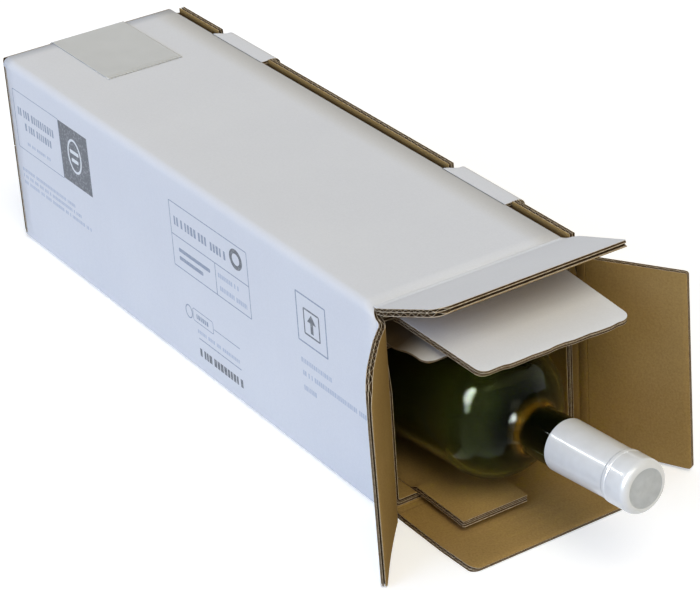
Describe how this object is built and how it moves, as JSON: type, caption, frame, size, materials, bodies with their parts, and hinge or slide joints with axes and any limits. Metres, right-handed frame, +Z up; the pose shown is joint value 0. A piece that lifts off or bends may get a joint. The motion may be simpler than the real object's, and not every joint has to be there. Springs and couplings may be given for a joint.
{
  "type": "bottle shipping box",
  "caption": "Long white corrugated shipping box lying open at one end, with a glued liner and a corked wine bottle inside; the front flaps swing.",
  "frame": {"origin": "centre of the box's underside, halfway between its back face and the crease of its floor flap", "axes": "+X along the box towards its open end, +Y towards the wall that the lid's tabs lock into, +Z up"},
  "size_m": [0.5488, 0.1896, 0.1403],
  "materials": {
    "white_board": "matte",
    "liner_board": "matte",
    "tape": "satin",
    "green_glass": "gloss",
    "wine": "gloss",
    "cork": "matte",
    "white_capsule": "gloss"
  },
  "bodies": {
    "box": {"outer_box": "white_board", "liner": "liner_board", "tape": "tape", "bottle": "green_glass", "wine": "wine", "cork": "cork", "capsule": "white_capsule"},
    "top_flap": {"top_flap": "white_board"},
    "bottom_flap": {"bottom_flap": "white_board"},
    "left_flap": {"left_flap": "white_board"},
    "right_flap": {"right_flap": "white_board"}
  },
  "joints": [
    {"name": "top_flap_hinge", "type": "hinge", "parent": "box", "child": "top_flap", "pos_m": [0.204, 0, 0.1215], "axis": [0, -1, 0], "range_deg": [-20.6, 129]},
    {"name": "bottom_flap_hinge", "type": "hinge", "parent": "box", "child": "bottom_flap", "pos_m": [0.208, 0, 0], "axis": [0, -1, 0], "range_deg": [-150, 4]},
    {"name": "left_flap_hinge", "type": "hinge", "parent": "box", "child": "left_flap", "pos_m": [0.209, -0.0625, 0], "axis": [0, 0, 1], "range_deg": [-110, 40]},
    {"name": "right_flap_hinge", "type": "hinge", "parent": "box", "child": "right_flap", "pos_m": [0.211, 0.0625, 0], "axis": [0, 0, 1], "range_deg": [-25, 125]}
  ]
}
